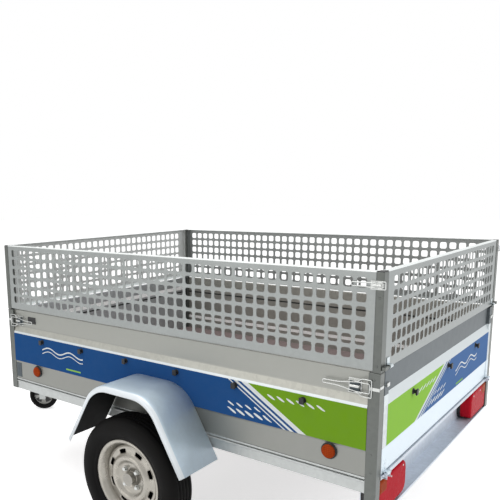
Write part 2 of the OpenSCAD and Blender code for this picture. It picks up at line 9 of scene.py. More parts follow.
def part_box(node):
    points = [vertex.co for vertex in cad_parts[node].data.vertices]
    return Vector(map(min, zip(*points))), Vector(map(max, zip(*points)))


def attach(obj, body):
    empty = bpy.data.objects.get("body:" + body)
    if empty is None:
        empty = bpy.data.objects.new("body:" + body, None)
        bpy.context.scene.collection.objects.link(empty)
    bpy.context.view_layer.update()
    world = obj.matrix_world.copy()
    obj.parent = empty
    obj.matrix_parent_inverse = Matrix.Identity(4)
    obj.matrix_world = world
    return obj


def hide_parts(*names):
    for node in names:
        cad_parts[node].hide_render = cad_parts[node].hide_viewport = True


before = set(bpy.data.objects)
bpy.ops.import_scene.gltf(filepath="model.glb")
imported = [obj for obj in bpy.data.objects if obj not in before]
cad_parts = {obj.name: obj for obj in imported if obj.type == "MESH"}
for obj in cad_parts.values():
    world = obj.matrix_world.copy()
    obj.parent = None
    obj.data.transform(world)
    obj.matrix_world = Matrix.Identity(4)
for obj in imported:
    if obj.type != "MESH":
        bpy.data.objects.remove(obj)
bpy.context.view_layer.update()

# Camera, floor and light: a pale studio. The camera stands behind the left rear corner, at the place and
# with the lens that the rows of square holes and the edges of the body give, and the picture is cut off
# below as the photograph is.
picture, focal, axis_x, axis_y = 500, 612.600, 180.718, 301.660
to_right = Vector((-0.774004, -0.632999, -0.015140))
to_foot = Vector((-0.098748, 0.144295, -0.984596))
forward = Vector((0.625433, -0.760586, -0.174192))
stand = Vector((-2.311864, 2.757298, 1.508552))
camera = bpy.data.objects.new("camera", bpy.data.cameras.new("camera"))
bpy.context.scene.collection.objects.link(camera)
bpy.context.scene.camera = camera
camera.matrix_world = Matrix.Translation(stand) @ Matrix((to_right, -to_foot, -forward)).transposed().to_4x4()
camera.data.lens = focal / picture * camera.data.sensor_width
camera.data.shift_x = (picture / 2 - axis_x) / picture
camera.data.shift_y = (axis_y - picture / 2) / picture
bpy.context.scene.view_settings.view_transform = "Standard"


class Wire:
    """The output of a shader node, which takes part in sums."""

    def __init__(self, finish, socket):
        self.finish, self.socket = finish, socket

    def do(self, operation, *others):
        return self.finish.math(operation, self, *others)

    def __add__(self, other):
        return self.do("ADD", other)

    def __sub__(self, other):
        return self.do("SUBTRACT", other)

    def __rsub__(self, other):
        return self.finish.math("SUBTRACT", other, self)

    def __mul__(self, other):
        return self.do("MULTIPLY", other)

    def __truediv__(self, other):
        return self.do("DIVIDE", other)

    def __gt__(self, other):
        return self.do("GREATER_THAN", other)

    def __lt__(self, other):
        return self.do("LESS_THAN", other)

    def __abs__(self):
        return self.do("ABSOLUTE")

    __radd__ = __add__
    __rmul__ = __mul__


class Finish:
    """A material in the making. Its fixed values are set on the shader's own sockets."""

    def __init__(self, name, fixed):
        self.material = bpy.data.materials.new(name)
        self.material.use_nodes = True
        self.tree = self.material.node_tree
        self.shader = self.tree.nodes["Principled BSDF"]
        for socket, value in fixed.items():
            self.shader.inputs[socket].default_value = value
        self.place = self.add("TexCoord", {}, {}, "Object")

    def add(self, kind, settings, inputs, out=0):
        node = self.tree.nodes.new("ShaderNode" + kind)
        for key, value in settings.items():
            setattr(node, key, value)
        for key, value in inputs.items():
            self.feed(value, node.inputs[key])
        return Wire(self, node.outputs[out])

    def feed(self, value, socket):
        if isinstance(value, Wire):
            self.tree.links.new(value.socket, socket)
        else:
            socket.default_value = value

    def give(self, socket, value):
        self.feed(value, self.shader.inputs[socket])

    def math(self, operation, *values):
        return self.add("Math", {"operation": operation}, dict(enumerate(values)))

    def axis(self, which):
        return self.add("SeparateXYZ", {}, {"Vector": self.place}, which)

    def mix(self, share, first, second):
        return self.add("Mix", {"data_type": "RGBA"}, {0: share, 6: first, 7: second}, 2)

    def noise(self, scale, detail, place=None):
        return self.add("TexNoise", {}, {"Vector": place or self.place, "Scale": scale, "Detail": detail})

    def stretched(self, x, y, z):
        return self.add("Mapping", {}, {"Vector": self.place, "Scale": (x, y, z)})

    def bump(self, height, depth, strength):
        relief = {"Height": height, "Distance": depth, "Strength": strength}
        self.give("Normal", self.add("Bump", {}, relief, "Normal"))


def colour(red, green, blue):
    """A colour as it is read off a picture, 0 to 255, as the linear value that a shader takes."""
    return tuple(((c / 255 + 0.055) / 1.055) ** 2.4 if c > 10 else c / 255 / 12.92 for c in (red, green, blue)) + (1.0,)


def pale_ground():
    f = Finish("pale_ground", {"Roughness": 0.9, "Specular IOR Level": 0.1})
    f.give("Base Color", f.mix(f.noise(1.5, 3.0) * 0.2, colour(250, 250, 250), colour(244, 244, 245)))
    seen = [f.add("LightPath", {}, {}, ray) for ray in ("Is Camera Ray", "Is Glossy Ray", "Is Transmission Ray")]
    f.give("Emission Color", f.mix(seen[0] + seen[1] + seen[2] > 0.5, (0.0, 0.0, 0.0, 1.0), (0.6, 0.6, 0.6, 1.0)))
    f.give("Emission Strength", 1.0)
    return f.material


ground_bm = bmesh.new()
bmesh.ops.create_grid(ground_bm, x_segments=1, y_segments=1, size=30.0)
ground_mesh = bpy.data.meshes.new("ground")
ground_bm.to_mesh(ground_mesh)
ground_bm.free()
ground = bpy.data.objects.new("ground", ground_mesh)
ground_mesh.materials.append(pale_ground())
bpy.context.scene.collection.objects.link(ground)

world = bpy.data.worlds.new("studio")
bpy.context.scene.world = world
world.use_nodes = True
world_nodes, world_link = world.node_tree.nodes, world.node_tree.links.new
sky = world_nodes["Background"]
sky.inputs["Color"].default_value = (1.0, 1.0, 1.0, 1.0)
rays = world_nodes.new("ShaderNodeLightPath")
direct = rays.outputs["Is Camera Ray"]
for ray in ("Is Glossy Ray", "Is Transmission Ray"):
    either = world_nodes.new("ShaderNodeMath")
    either.operation = "MAXIMUM"
    world_link(direct, either.inputs[0])
    world_link(rays.outputs[ray], either.inputs[1])
    direct = either.outputs[0]
level = world_nodes.new("ShaderNodeMapRange")
level.inputs["To Min"].default_value = 0.55
level.inputs["To Max"].default_value = 1.0
world_link(direct, level.inputs["Value"])
world_link(level.outputs["Result"], sky.inputs["Strength"])

for lamp_name, spot, aim, power, size, tint in (
        ("window", (-5.5, -1.5, 3.6), (-0.6, 0.0, 0.6), 70.0, 3.0, (0.90, 0.96, 1.0)),
        ("overhead", (0.2, 0.8, 5.0), (-0.3, 0.0, 0.6), 105.0, 4.0, (1.0, 1.0, 1.0)),
        ("side", (1.5, 6.0, 2.6), (-0.3, 0.5, 0.5), 40.0, 3.0, (1.0, 0.97, 0.93))):
    light = bpy.data.objects.new(lamp_name, bpy.data.lights.new(lamp_name, "AREA"))
    light.data.energy = power
    light.data.size = size
    light.data.color = tint
    light.location = spot
    light.rotation_euler = (Vector(spot) - Vector(aim)).to_track_quat("Z", "Y").to_euler()
    bpy.context.scene.collection.objects.link(light)

# Sides: each is one galvanised sheet pressed into a flat field, a slope and a recessed top band, and its
# ends are welded to the corner posts. The field is printed blue and green, with white bars and dots where
# the colours meet, and two thin waves over a short green bar further forward.
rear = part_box("corner_posts")[0].x
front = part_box("corner_posts")[1].x
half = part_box("corner_posts")[1].y
both = (("left", 1), ("right", -1))
post_long = post_wide = 0.042
floor_line, field_foot, field_head, band_foot, body_head = 0.509, 0.6095, 0.7655, 0.808, 0.895
band_deep, wall_thick, outer_deep = 0.012, 0.027, 0.016
wall_shape = ((0.003, floor_line), (0.003, 0.605), (0.0, 0.609), (0.0, 0.766), (band_deep, band_foot),
              (band_deep, body_head), (wall_thick, body_head), (wall_thick, floor_line))
side_blue, side_green = colour(36, 82, 140), colour(121, 167, 34)
# Painted light: the slope's colour is a painted highlight where the sheet faces up, and the fold's near-white is a
# painted reflection of the sky.
slope_highlight, fold_highlight, joint_tint = colour(206, 212, 214), colour(252, 252, 250), colour(70, 72, 72)
print_white, bar_green, worn_tint = colour(236, 240, 240), colour(150, 200, 90), colour(110, 122, 135)


def piece(name, bm, body, slot, look, *stands_for, sheet=0.0, under=None):
    """Finishes a mesh as a piece of the trailer: it rides on a body and may stand for CAD nodes. A mesh drawn as
    one surface is given the thickness of its sheet, inwards, and may have another look on its inner skin."""
    if not sheet:
        bmesh.ops.remove_doubles(bm, verts=bm.verts[:], dist=0.00002)
        bmesh.ops.recalc_face_normals(bm, faces=bm.faces[:])
    mesh = bpy.data.meshes.new(name)
    bm.to_mesh(mesh)
    bm.free()
    mesh.materials.append(look)
    obj = bpy.data.objects.new(name, mesh)
    bpy.context.scene.collection.objects.link(obj)
    if sheet:
        solid = obj.modifiers.new("sheet", "SOLIDIFY")
        solid.thickness = sheet
        solid.offset = -1.0
        solid.use_even_offset = True
        if under:
            mesh.materials.append(under)
            solid.material_offset = 1
    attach(obj, body)
    if stands_for:
        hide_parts(*stands_for)


def soften(bm, edges, width, steps=2):
    bmesh.ops.bevel(bm, geom=edges, offset=width, offset_type="OFFSET", segments=steps, profile=0.5,
                    affect="EDGES", material=-1)


def verts_of(geom):
    return [g for g in geom if isinstance(g, bmesh.types.BMVert)]


def bar(bm, shape, start, end, soft, along="X"):
    """A bar of one section, drawn as (across, up) points, from start to end along X or Y."""
    def spot(across, up):
        return (start, across, up) if along == "X" else (across, start, up)
    face = bm.faces.new([bm.verts.new(spot(*p)) for p in shape])
    verts = verts_of(bmesh.ops.extrude_face_region(bm, geom=[face])["geom"])
    way = Vector((end - start, 0, 0)) if along == "X" else Vector((0, end - start, 0))
    bmesh.ops.translate(bm, verts=verts, vec=way)
    long_edges = {e for v in verts for e in v.link_edges
                  if abs((e.verts[0].co - e.verts[1].co).normalized().dot(way.normalized())) > 0.999}
    soften(bm, list(long_edges), soft)


def shaded(tint, times, plus=0.0):
    """A lighter or darker shade of a colour."""
    return tuple(min(1.0, c * times + plus) for c in tint[:3]) + (1.0,)


def zinc(f, tint, spread=0.16, metal=0.8, rough=0.38):
    """Hot-dip galvanised sheet: a spangle of crystals over soft clouds, a little brighter where it is duller."""
    spangle = f.add("TexVoronoi", {}, {"Vector": f.place, "Scale": 70.0}, "Color")
    cell = f.add("SeparateColor", {}, {"Color": spangle})
    cloud = f.noise(2.2, 4.0)
    streak = f.noise(14.0, 3.0, f.stretched(1.0, 1.0, 0.25))
    shade = cell * 0.35 + cloud * 0.75 + streak * 0.35 - 0.25
    f.give("Roughness", rough + (cell - 0.5) * 0.08 + (cloud - 0.5) * 0.12)
    f.give("Metallic", metal)
    f.bump(cell * 0.3 + f.noise(400.0, 2.0), 0.0002, 0.5)
    return f.mix(shade, shaded(tint, 1 - spread), shaded(tint, 1 + spread))


def plain_zinc(name, tint, **how):
    f = Finish(name, {})
    f.give("Base Color", zinc(f, tint, **how))
    return f.material


def within(value, low, high):
    return (value > low) * (value < high)


def printed(name, tint, band, strip, fold, slope_head, along, way, split, lean, waves, wave_rise, blue, green,
            skin, edge):
    """Galvanised sheet with the printed field on its outer skin and a painted highlight along a fold on its inner one.
    Its top band, lower strip and slope are painted in their own shades of the sheet for the light on them. The
    colours meet at split, on a slant of lean, and skin says from where on a point is on the outer skin."""
    f = Finish(name, {"Specular IOR Level": 0.0})
    u, z = f.axis(along) * way, f.axis(2)
    outer = f.axis(skin[0]) * skin[1] > skin[2]
    inner = 1.0 - outer
    # Painted light and shade on the outer skin: the top band is painted darker, as shade, and the lower strip gets its
    # own shade of the sheet, as the light falls on it.
    base = f.mix((z > band_foot - 0.004) * outer, zinc(f, tint), band)
    base = f.mix((z < field_foot) * outer, base, strip)
    # Painted highlight: the slope is painted lighter, as it faces up.
    base = f.mix(within(z, field_head, slope_head) * outer, base, slope_highlight)
    # Painted reflection: a near-white band along a fold of the inner skin, also made less metallic below.
    folded = within(z, *fold) * inner
    base = f.mix(folded, base, fold_highlight)
    base = f.mix(within(z, 0.786, 0.796) * inner, base, joint_tint)
    field = within(z, field_foot, field_head) * outer * (abs(u) < edge)

    # The bars, and three rows of dots on one pitch, each with its height, radius, start and end.
    run = u - split - (z - 0.627) * lean
    ink = f.mix(run > 0.0, green, blue)
    white = within(run, 0.0, 0.034) + within(run, 0.052, 0.070) + within(run, 0.088, 0.097)
    step = 0.042
    across = ((run + 0.4) / step).do("FRACT") - 0.5
    for row, size, low, high in ((0.636, 0.011, 0.12, 0.30), (0.664, 0.008, 0.12, 0.26), (0.728, 0.009, -0.26, -0.02)):
        up = (z - row) / step
        white = white + ((across * across + up * up).do("SQRT") < size / step) * within(run, low, high)

    # The waves, and the bar under them.
    wave = (u * 38.0).do("SINE") * 0.011
    for rise, thick in ((wave_rise + 0.010, 0.0034), (wave_rise - 0.010, 0.0022)):
        white = white + (abs(z - rise - wave) < thick) * within(u, *waves)
    green_bar = (abs(z - wave_rise + 0.068) < 0.004) * within(u, waves[0] + 0.02, waves[0] + 0.13)
    ink = f.mix(green_bar, ink, bar_green)
    ink = f.mix(white.do("MINIMUM", 1.0), ink, print_white)

    wear = f.noise(30.0, 4.0)
    ink = f.mix(wear * 0.08, ink, worn_tint)
    f.give("Base Color", f.mix(field, base, ink))
    f.give("Metallic", (1.0 - field - folded) * 0.8)
    f.give("Roughness", 0.42 + (wear - 0.5) * 0.1)
    return f.material


for name, side in both:
    bm = bmesh.new()
    bar(bm, [(side * (half - d), z) for d, z in wall_shape], rear + post_long, front - post_long, 0.0025)
    look = printed("printed_side_" + name, tint=colour(172, 172, 165), band=colour(154, 155, 150),
                   strip=colour(140, 141, 137), fold=(0.594, 0.614), slope_head=0.776, along=0, way=1.0,
                   split=rear + 0.301, lean=1.66, waves=(rear + 1.506, rear + 1.824), wave_rise=0.698,
                   blue=side_blue, green=side_green, skin=(1, side, half - outer_deep), edge=9.0)
    piece("side_panel_" + name, bm, "chassis", "pressed_panel", look, "side_" + name)

# Tailgate and front board: pressed like the sides between two flat margins, and hung on two hinges at
# the foot. Each hinge leaf is bent from strip, rolls round the pin and is held by two rivets.
door_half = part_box("tailgate")[1].y
door_foot = floor_line + 0.005
margin = 0.037
pin_x, pin_z = 0.011, 0.513
hinge_y = door_half - 0.030
leaf_half, eye_r = 0.012, 0.007


def end_x(x, end):
    """X at a distance inwards from the rear face or the front face."""
    return rear + x if end == "rear" else front - x


def rod(bm, start, end, radius, sides=20, far_radius=None):
    way = Vector(end) - Vector(start)
    middle = Matrix.Translation((Vector(start) + Vector(end)) / 2) @ way.to_track_quat("Z", "Y").to_matrix().to_4x4()
    bmesh.ops.create_cone(bm, cap_ends=True, segments=sides, radius1=radius,
                          radius2=radius if far_radius is None else far_radius, depth=way.length, matrix=middle)


def block(bm, corner, other, soft, steps=2):
    """A box between two opposite corners, given in any order, with soft edges."""
    corner, other = Vector(corner), Vector(other)
    size = other - corner
    made = bmesh.ops.create_cube(bm, size=1.0, matrix=Matrix.Translation((corner + other) / 2)
                                 @ Matrix.Diagonal((abs(size.x), abs(size.y), abs(size.z), 1.0)))["verts"]
    soften(bm, list({e for v in made for e in v.link_edges}), soft, steps)


def hinge_eyes(bm, end):
    pin, out, skin, head = (end_x(x, end) for x in (-pin_x, -0.001, 0.003, -0.0035))
    for y in (-hinge_y, hinge_y):
        near, far = y - leaf_half, y + leaf_half
        rod(bm, (pin, near, pin_z), (pin, far, pin_z), eye_r, 24)
        block(bm, (pin, near, pin_z + 0.003), (skin, far, pin_z + 0.007), 0.0008)
        block(bm, (out, near, pin_z + 0.003), (skin, far, pin_z + 0.045), 0.0012)
        for up in (0.018, 0.034):
            rod(bm, (out, y, pin_z + up), (head, y, pin_z + up), 0.004, 12, 0.0028)


door_print = {"slope_head": 0.806, "along": 1, "split": -0.373, "lean": 2.27, "waves": (0.124, 0.486),
              "wave_rise": 0.690, "edge": door_half - margin}
# Painted light and shade: the tailgate's tint and print are lighter copies of the sides' for the light on the rear, its
# top band is painted dark as shade and its lower strip pale and bluish as a highlight.
rear_print = printed("printed_tailgate", tint=colour(202, 206, 208), band=colour(99, 105, 108),
                     strip=colour(212, 222, 229), fold=(0.594, 0.614), way=-1.0, blue=colour(94, 126, 176),
                     green=colour(160, 212, 88), skin=(0, -1.0, -rear - outer_deep), **door_print)
front_print = printed("printed_front", tint=colour(190, 194, 196), band=colour(150, 154, 158),
                      strip=colour(180, 184, 186), fold=(0.809, 0.833), way=1.0, blue=side_blue,
                      green=side_green, skin=(0, 1.0, front - outer_deep), **door_print)
for name, end, look in (("tailgate", "rear", rear_print), ("front_board", "front", front_print)):
    bm = bmesh.new()
    shape = [(end_x(d, end), max(z, door_foot)) for d, z in wall_shape]
    bar(bm, shape, margin - door_half, door_half - margin, 0.0025, "Y")
    for side in (1, -1):
        block(bm, (end_x(0.0, end), side * (door_half - margin), door_foot),
              (end_x(wall_thick, end), side * door_half, body_head), 0.0015)
    hinge_eyes(bm, end)
    piece(name + "_panel", bm, name, "pressed_panel", look, name)

# Corner posts: folded galvanised tubes, welded to the sides. The rear ones run on down to the foot of the
# lamp board. Round-headed rivets hold the panels to them.
board_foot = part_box("corner_posts")[0].z
front_post_foot = 0.447
sheet_zinc = plain_zinc("galvanised_sheet", colour(102, 105, 102))


def post(bm, x0, x1, side, y_out, wide, foot, head, soft):
    block(bm, (x0, side * (y_out - wide), foot), (x1, side * y_out, head), soft, 3)


def rivet(bm, x, side, z):
    rod(bm, (x, side * half, z), (x, side * (half + 0.002), z), 0.0045, 14, 0.003)


bm = bmesh.new()
for side in (1, -1):
    post(bm, rear, rear + post_long, side, half, post_wide, board_foot, body_head, 0.003)
    post(bm, front - post_long, front, side, half, post_wide, front_post_foot, body_head, 0.003)
    for x in (rear + post_long / 2, front - post_long / 2):
        for z in (0.53, 0.60, 0.87):
            rivet(bm, x, side, z)
piece("corner_posts_folded", bm, "chassis", "galvanised_steel", sheet_zinc, "corner_posts")

# Rails: folded channels along both sides. The fold stands out as a bright lip under the side's edge, over
# a dark joint.
frame_zinc = plain_zinc("galvanised_frame", colour(180, 183, 182), rough=0.45)
rail_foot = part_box("side_rails")[0].z
rail_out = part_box("side_rails")[1].y
rail_in, rail_skin, joint_y = rail_out - 0.033, rail_out - 0.003, rail_out - 0.010
rail_shape = ((rail_in, rail_foot), (rail_skin, rail_foot), (rail_skin, 0.486), (rail_out, 0.488),
              (rail_out, 0.493), (rail_skin, 0.495), (joint_y, 0.496), (joint_y, 0.501), (rail_out, 0.502),
              (rail_out, floor_line), (rail_in, floor_line))
bm = bmesh.new()
for side in (1, -1):
    bar(bm, [(side * y, z) for y, z in rail_shape], rear + post_long, front - post_long, 0.0007)
piece("side_rails_folded", bm, "chassis", "galvanised_steel", frame_zinc, "side_rails")

# Lamp board: the deep rear crossmember, one sheet folded back at head and foot, with the cheeks and pins
# of the tailgate's hinges welded under its lip. The front crossmember carries the front board's hinges.
board_face, board_sheet, board_fold = 0.070, 0.003, 0.010
# Painted light: the lamp board's zinc is a lighter, less metallic copy of the galvanised finish, for the light on its
# face.
lit_board_zinc = plain_zinc("galvanised_board", colour(212, 219, 228), metal=0.4, rough=0.5)
board_shape = ((-0.002, floor_line), (-0.002, 0.495), (0.0, 0.495), (0.0, 0.506), (board_face, 0.506),
               (board_face, board_foot + board_sheet), (0.002, board_foot + board_sheet),
               (0.002, board_foot + board_fold), (0.0, board_foot + board_fold), (0.0, board_foot),
               (board_face + board_sheet, board_foot), (board_face + board_sheet, floor_line))
post_in = half - post_wide
cheek_y, cheek_half = 0.015, 0.002


def hinge_cheeks(bm, end, inner, foot):
    """At each hinge two cheeks, the pin through them and its head. The cheeks end at inner, inwards."""
    pin, lip, back = (end_x(x, end) for x in (-pin_x, -pin_x - 0.006, -pin_x + 0.006))
    for y in (-hinge_y, hinge_y):
        for k in (-cheek_y, cheek_y):
            low, high = y + k - cheek_half, y + k + cheek_half
            block(bm, (lip, low, foot), (end_x(inner, end), high, floor_line - 0.008), 0.0012)
            block(bm, (lip, low, foot + 0.002), (back, high, pin_z + 0.004), 0.0012)
        rod(bm, (pin, y - 0.0185, pin_z), (pin, y + 0.0185, pin_z), 0.004)
        rod(bm, (pin, y - 0.022, pin_z), (pin, y - 0.0185, pin_z), 0.0065, 16)


bm = bmesh.new()
bar(bm, [(rear + x, z) for x, z in board_shape], -post_in, post_in, 0.0007, "Y")
hinge_cheeks(bm, "rear", -0.001, 0.495)
piece("lamp_board_folded", bm, "chassis", "galvanised_steel", lit_board_zinc, "lamp_board")
bm = bmesh.new()
block(bm, (front - post_long, -post_in, rail_foot), (front, post_in, floor_line), 0.003)
hinge_cheeks(bm, "front", 0.001, 0.465)
piece("front_beam", bm, "chassis", "galvanised_steel", frame_zinc, "front_crossmember")

# Extension panels: perforated galvanised sheet, 40 by 6 square holes with round corners on the sides and
# 28 by 6 at the ends, folded inwards all round. The fold is painted with a highlight along the head, and in
# front along the foot too. The rear panel has two eyes and turns on pins.
panel_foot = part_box("mesh_left")[0].z
panel_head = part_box("mesh_left")[1].z
rows, pitch, hole, hole_corner = 6, 0.050, 0.036, 0.0085
first_row, panel_fold, inset = 0.042, 0.020, 0.002
ext_long, ext_wide = 0.028, 0.040
body_mid = (rear + front) / 2
side_width = front - rear - 2 * ext_long
front_width = 2 * (half - ext_wide)
gate_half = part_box("mesh_gate")[1].y


def panel_sheet(name, tint, metal, foot_fold):
    """Perforated sheet with a painted highlight along the fold at its head, and at its foot where foot_fold is above 0.
    """
    f = Finish(name, {})
    plain = zinc(f, tint, spread=0.12, metal=metal, rough=0.42)
    z = f.axis(2)
    # Painted highlight: the folds at head and foot are painted near-white.
    fold = (z > panel_head - 0.004) + (z < panel_foot + foot_fold)
    f.give("Base Color", f.mix(fold, plain, colour(232, 236, 235)))
    return f.material


def perforated(bm, width, columns):
    """One flat perforated sheet, drawn across X and up Y from its foot, facing +Z, with its edges folded back."""
    high = panel_head - panel_foot
    bmesh.ops.create_grid(bm, x_segments=columns + 2, y_segments=rows + 2, size=1.0)
    xs = [-width / 2] + [(k - columns / 2) * pitch for k in range(columns + 1)] + [width / 2]
    top = high - first_row + pitch / 2
    ys = [0.0] + [top - k * pitch for k in range(rows, -1, -1)] + [high]
    for v in bm.verts:
        v.co.x = xs[round((v.co.x + 1) / 2 * (columns + 2))]
        v.co.y = ys[round((v.co.y + 1) / 2 * (rows + 2))]

    def middles():
        """The faces in the middle of each cell that has a hole."""
        found = []
        for face in bm.faces:
            c = face.calc_center_median()
            a, b = (c.x - xs[1]) / pitch - 0.5, (c.y - ys[1]) / pitch - 0.5
            centred = abs(a - round(a)) < 0.02 and abs(b - round(b)) < 0.02
            if centred and -0.4 < a < columns - 0.6 and -0.4 < b < rows - 0.6:
                found.append(face)
        return found
    cells = middles()
    bmesh.ops.inset_individual(bm, faces=cells, thickness=(pitch - hole) / 2, use_even_offset=True)
    corners = list({v for face in cells for v in face.verts})
    bmesh.ops.bevel(bm, geom=corners, offset=hole_corner, offset_type="OFFSET", segments=2, profile=0.5,
                    affect="VERTICES", material=-1)
    bmesh.ops.delete(bm, geom=middles(), context="FACES")
    rim = [e for e in bm.edges if e.is_boundary and (
        all(abs(abs(v.co.x) - width / 2) < 1e-5 for v in e.verts)
        or all(min(abs(v.co.y), abs(v.co.y - high)) < 1e-5 for v in e.verts))]
    folded = bmesh.ops.extrude_edge_only(bm, edges=rim)["geom"]
    bmesh.ops.translate(bm, verts=verts_of(folded), vec=(0, 0, -panel_fold))
    bmesh.ops.recalc_face_normals(bm, faces=bm.faces[:])
    flat = max(bm.faces, key=lambda face: abs(face.normal.z) * face.calc_area())
    if flat.normal.z < 0:
        bmesh.ops.reverse_faces(bm, faces=bm.faces[:])
    soften(bm, rim, 0.0022)


panel_zinc = panel_sheet("perforated_zinc", colour(152, 156, 155), 0.8, 0.0)
# Painted light: the front panel's sheet is a lighter, less metallic copy, for the light that falls on it.
lit_perforated_zinc = panel_sheet("perforated_zinc_pale", colour(206, 209, 207), 0.3, 0.014)
for name, body, look, width, columns, middle, outward, across in (
        ("mesh_left", "chassis", panel_zinc, side_width, 40, (body_mid, half - inset), (0, 1, 0), (-1, 0, 0)),
        ("mesh_right", "chassis", panel_zinc, side_width, 40, (body_mid, -half + inset), (0, -1, 0), (1, 0, 0)),
        ("mesh_front", "chassis", lit_perforated_zinc, front_width, 28, (front - inset, 0.0), (1, 0, 0), (0, 1, 0)),
        ("mesh_gate", "mesh_gate", panel_zinc, 2 * gate_half, 28, (rear + inset, 0.0), (-1, 0, 0), (0, -1, 0))):
    bm = bmesh.new()
    perforated(bm, width, columns)
    turn = Matrix((across, (0, 0, 1), outward)).transposed().to_4x4()
    bmesh.ops.transform(bm, matrix=Matrix.Translation((*middle, panel_foot)) @ turn, verts=bm.verts[:])
    piece(name + "_sheet", bm, body, "perforated_sheet", look, name, sheet=0.002)

bright_zinc = plain_zinc("galvanised_bright", colour(200, 208, 211), rough=0.32)
gate_x, gate_z = rear - 0.008, panel_foot + 0.010
bm = bmesh.new()
for side in (1, -1):
    eye_y = side * (gate_half - 0.022)
    near, far = eye_y - leaf_half, eye_y + leaf_half
    rod(bm, (gate_x, near, gate_z), (gate_x, far, gate_z), eye_r, 24)
    block(bm, (gate_x, near, gate_z + 0.001), (rear + inset, far, gate_z + 0.007), 0.0008)
    block(bm, (rear - 0.001, near, gate_z + 0.001), (rear + inset, far, gate_z + 0.030), 0.0008)
piece("mesh_gate_eyes", bm, "mesh_gate", "galvanised_steel", bright_zinc)

# Extension posts: square tubes that stand on the corner posts and are closed by black plastic plugs. The
# rear ones carry the pins that the rear panel turns on.
plug_foot = panel_head - 0.0025
lug_y = half - ext_wide + 0.002
bm, bm_plugs = bmesh.new(), bmesh.new()
for side in (1, -1):
    for x0, x1 in ((rear, rear + ext_long), (front - ext_long, front)):
        post(bm, x0, x1, side, half, ext_wide, body_head + 0.0005, plug_foot, 0.003)
        post(bm_plugs, x0 + 0.001, x1 - 0.001, side, half - 0.001, ext_wide - 0.002, plug_foot, panel_head, 0.001)
        for z in (panel_foot + 0.02, panel_head - 0.09):
            rivet(bm, (x0 + x1) / 2, side, z)
    block(bm, (gate_x - 0.006, side * lug_y, gate_z - 0.006),
          (rear, side * (lug_y + ext_wide - 0.008), gate_z + 0.008), 0.002)
    rod(bm, (gate_x, side * (gate_half - 0.034), gate_z), (gate_x, side * (lug_y + 0.002), gate_z), 0.004)
piece("extension_posts_tube", bm, "chassis", "galvanised_steel", sheet_zinc, "extension_posts")


def moulded(name, tint, rough=0.45, grain=900.0, shine=0.4):
    f = Finish(name, {"Specular IOR Level": shine})
    cloud = f.noise(25.0, 4.0)
    f.give("Base Color", f.mix(cloud, tint, shaded(tint, 1.35, 0.006)))
    f.give("Roughness", rough + (cloud - 0.5) * 0.15)
    f.bump(f.noise(grain, 2.0), 0.0001, 0.6)
    return f.material


black_plastic = moulded("black_plastic", colour(24, 24, 26))
piece("post_plugs", bm_plugs, "chassis", "black_plastic", black_plastic)

# Mudguards: pressed zinc-coated sheet, bent over the wheel, with its underside painted near-black as shade.
# The outer edge is rolled over and turned down in a narrow skirt with a painted highlight, and the inner
# edge lies against the side.
guard_low, guard_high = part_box("mudguard_left")
guard_top, guard_foot, guard_out, guard_in = guard_high.z, guard_low.z, guard_high.y, half + 0.0003
guard_mid = (guard_low.x + guard_high.x) / 2
guard_half_foot = (guard_high.x - guard_low.x) / 2
guard_half_top, bend = 0.170, 0.170
guard_section = ((guard_in, 0.0), (guard_out - 0.028, 0.0), (guard_out - 0.018, 0.0006), (guard_out - 0.010, 0.003),
                 (guard_out - 0.004, 0.0075), (guard_out - 0.001, 0.013), (guard_out, 0.026))


def guard_sheet(name):
    f = Finish(name, {})
    plain = zinc(f, colour(198, 214, 226), spread=0.06, metal=0.3, rough=0.42)
    # Painted highlight: the rolled outer edge and its skirt are painted brighter.
    f.give("Base Color", f.mix(abs(f.axis(1)) > guard_out - 0.012, plain, colour(230, 236, 240)))
    return f.material


def smooth(bm):
    for face in bm.faces:
        face.smooth = True


def carry(bm, edges, way):
    """Draws edges on along a straight way, and gives the new ones."""
    grown = bmesh.ops.extrude_edge_only(bm, edges=edges)["geom"]
    bmesh.ops.translate(bm, verts=verts_of(grown), vec=way)
    return [g for g in grown if isinstance(g, bmesh.types.BMEdge) and abs(
        (g.verts[0].co - g.verts[1].co).normalized().dot(Vector(way).normalized())) < 0.5]


def carry_round(bm, edges, centre, angle):
    """Draws edges on round a bend about an axis along Y, and gives the last ones."""
    verts = list({v for e in edges for v in e.verts})
    last = bmesh.ops.spin(bm, geom=verts + edges, cent=centre, axis=(0, 1, 0), dvec=(0, 0, 0), angle=angle,
                          steps=14, use_merge=False, use_duplicate=False)["geom_last"]
    return [g for g in last if isinstance(g, bmesh.types.BMEdge)]


guard_zinc = guard_sheet("mudguard_zinc")
